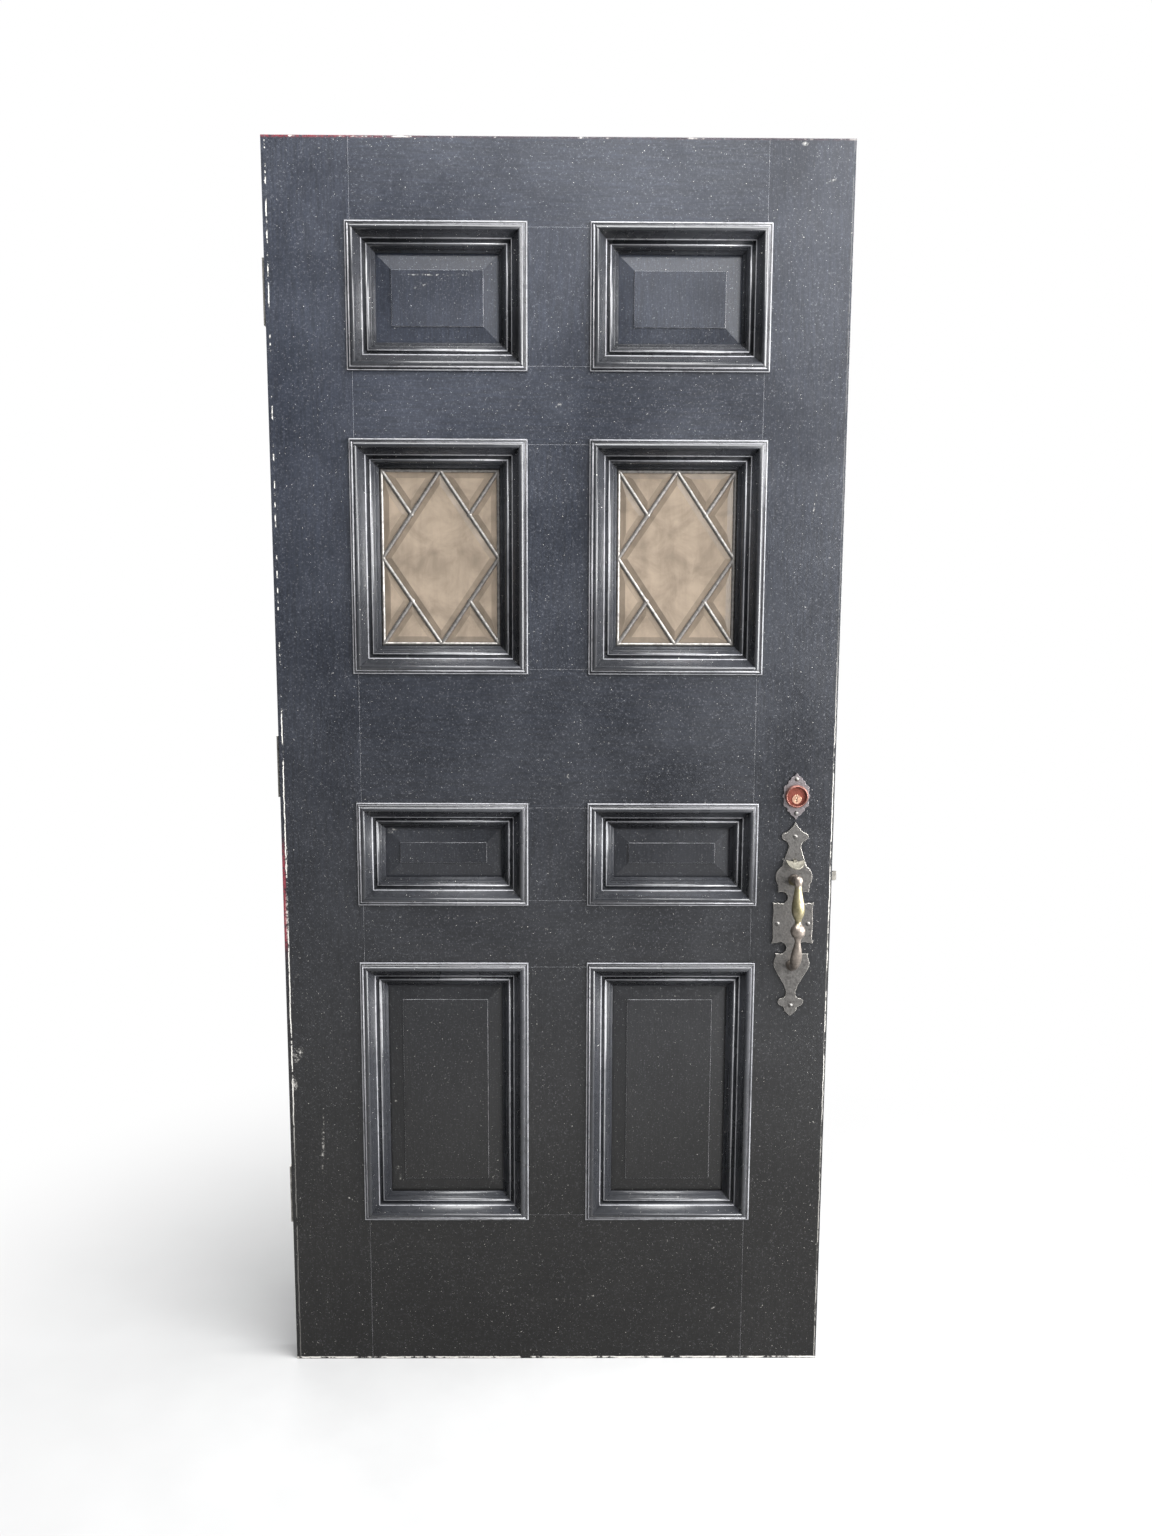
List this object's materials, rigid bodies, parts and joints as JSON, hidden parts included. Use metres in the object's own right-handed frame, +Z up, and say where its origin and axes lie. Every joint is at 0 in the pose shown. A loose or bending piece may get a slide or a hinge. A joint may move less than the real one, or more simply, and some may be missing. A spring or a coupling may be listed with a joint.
{
  "type": "weathered panelled entrance door leaf",
  "caption": "Weathered black-painted entrance door leaf with raised panels, leaded diamond lites, a thumb-latch handle, a deadbolt and butt hinges to hang it.",
  "frame": {"origin": "middle of the leaf's bottom edge, at mid thickness", "axes": "+Z up along the leaf, +X from the hinge side to the latch side, -Y towards the outside"},
  "size_m": [0.9341, 0.1523, 2.032],
  "materials": {
    "black_paint": "old black satin paint on wood, chipped",
    "bare_wood": "bare softwood",
    "bevelled_glass": "clear bevelled glass under old film",
    "lead_came": "dull oxidised came",
    "hinge_steel": "dull steel",
    "lock_steel": "dull steel",
    "blackened_iron": "blackened, worn edges",
    "silvered_plate": "worn silvered metal",
    "worn_brass": "worn, tarnished brass",
    "dull_brass": "dull brass",
    "copper_lock": "reddish copper-coloured metal"
  },
  "bodies": {
    "jamb_side": {"hinge_jamb_leaves": "hinge_steel", "hinge_pins": "hinge_steel"},
    "leaf": {"left_stile": "black_paint", "right_stile": "black_paint", "top_rail": "black_paint", "frieze_rail": "black_paint", "lock_rail": "black_paint", "cross_rail": "black_paint", "bottom_rail": "black_paint", "top_mullion": "black_paint", "lite_mullion": "black_paint", "middle_mullion": "black_paint", "lower_mullion": "black_paint", "frame_dowels": "bare_wood", "top_left_panel": "black_paint", "top_right_panel": "black_paint", "middle_left_panel": "black_paint", "middle_right_panel": "black_paint", "lower_left_panel": "black_paint", "lower_right_panel": "black_paint", "top_left_moulding": "black_paint", "top_right_moulding": "black_paint", "lite_left_moulding": "black_paint", "lite_right_moulding": "black_paint", "middle_left_moulding": "black_paint", "middle_right_moulding": "black_paint", "lower_left_moulding": "black_paint", "lower_right_moulding": "black_paint", "lite_left_stop": "black_paint", "lite_right_stop": "black_paint", "lite_left_came": "lead_came", "lite_right_came": "lead_came", "lite_left_glass": "bevelled_glass", "lite_right_glass": "bevelled_glass", "hinge_door_leaves": "hinge_steel", "hinge_screws": "hinge_steel", "handle_plate": "blackened_iron", "plate_screws": "blackened_iron", "grip": "worn_brass", "thumb_pivot_pin": "lock_steel", "latch_case": "lock_steel", "latch_faceplate": "dull_brass", "inside_rose": "dull_brass", "through_bolts": "dull_brass", "deadbolt_plate": "silvered_plate", "cylinder_collar": "copper_lock", "cylinder_body": "copper_lock", "deadbolt_case": "lock_steel", "deadbolt_faceplate": "dull_brass", "thumbturn_rose": "dull_brass", "faceplate_screws": "dull_brass"},
    "knob": {"inside_knob": "dull_brass", "spindle": "lock_steel"},
    "latch": {"latch_bolt": "dull_brass"},
    "thumb": {"thumb_piece": "worn_brass"},
    "turn": {"thumbturn": "dull_brass", "tailpiece": "lock_steel"},
    "bolt": {"deadbolt_bolt": "lock_steel"},
    "plug": {"key_plug": "copper_lock"}
  },
  "joints": [
    {"name": "door_swing", "type": "hinge", "parent": "jamb_side", "child": "leaf", "pos_m": [-0.4582, 0.02873, 0], "axis": [0, 0, 1], "range_deg": [0, 110]},
    {"name": "knob_turn", "type": "hinge", "parent": "leaf", "child": "knob", "pos_m": [0.3937, 0, 0.8683], "axis": [0, 1, 0], "range_deg": [0, 55], "stiffness_Nm_per_rad": 0.4},
    {"name": "latch_slide", "type": "slide", "parent": "leaf", "child": "latch", "axis": [-1, 0, 0], "range_m": [0, 0.0127]},
    {"name": "thumb_press", "type": "hinge", "parent": "leaf", "child": "thumb", "pos_m": [0.3937, -0.01922, 0.8993], "axis": [1, 0, 0], "range_deg": [0, 12]},
    {"name": "thumbturn_turn", "type": "hinge", "parent": "leaf", "child": "turn", "pos_m": [0.3937, 0, 1.008], "axis": [0, 1, 0], "range_deg": [0, 90]},
    {"name": "deadbolt_throw", "type": "slide", "parent": "leaf", "child": "bolt", "axis": [1, 0, 0], "range_m": [0, 0.0254]},
    {"name": "plug_turn", "type": "hinge", "parent": "leaf", "child": "plug", "pos_m": [0.3937, 0, 1.0035], "axis": [0, 1, 0], "range_deg": [0, 90]}
  ],
  "couplings": [
    {"joint": "latch_slide", "follows": "knob_turn", "m_per_rad": 0.01322},
    {"joint": "thumb_press", "follows": "knob_turn", "ratio": 0.218},
    {"joint": "thumbturn_turn", "follows": "deadbolt_throw", "rad_per_m": 61.83},
    {"joint": "plug_turn", "follows": "deadbolt_throw", "rad_per_m": 61.83}
  ]
}
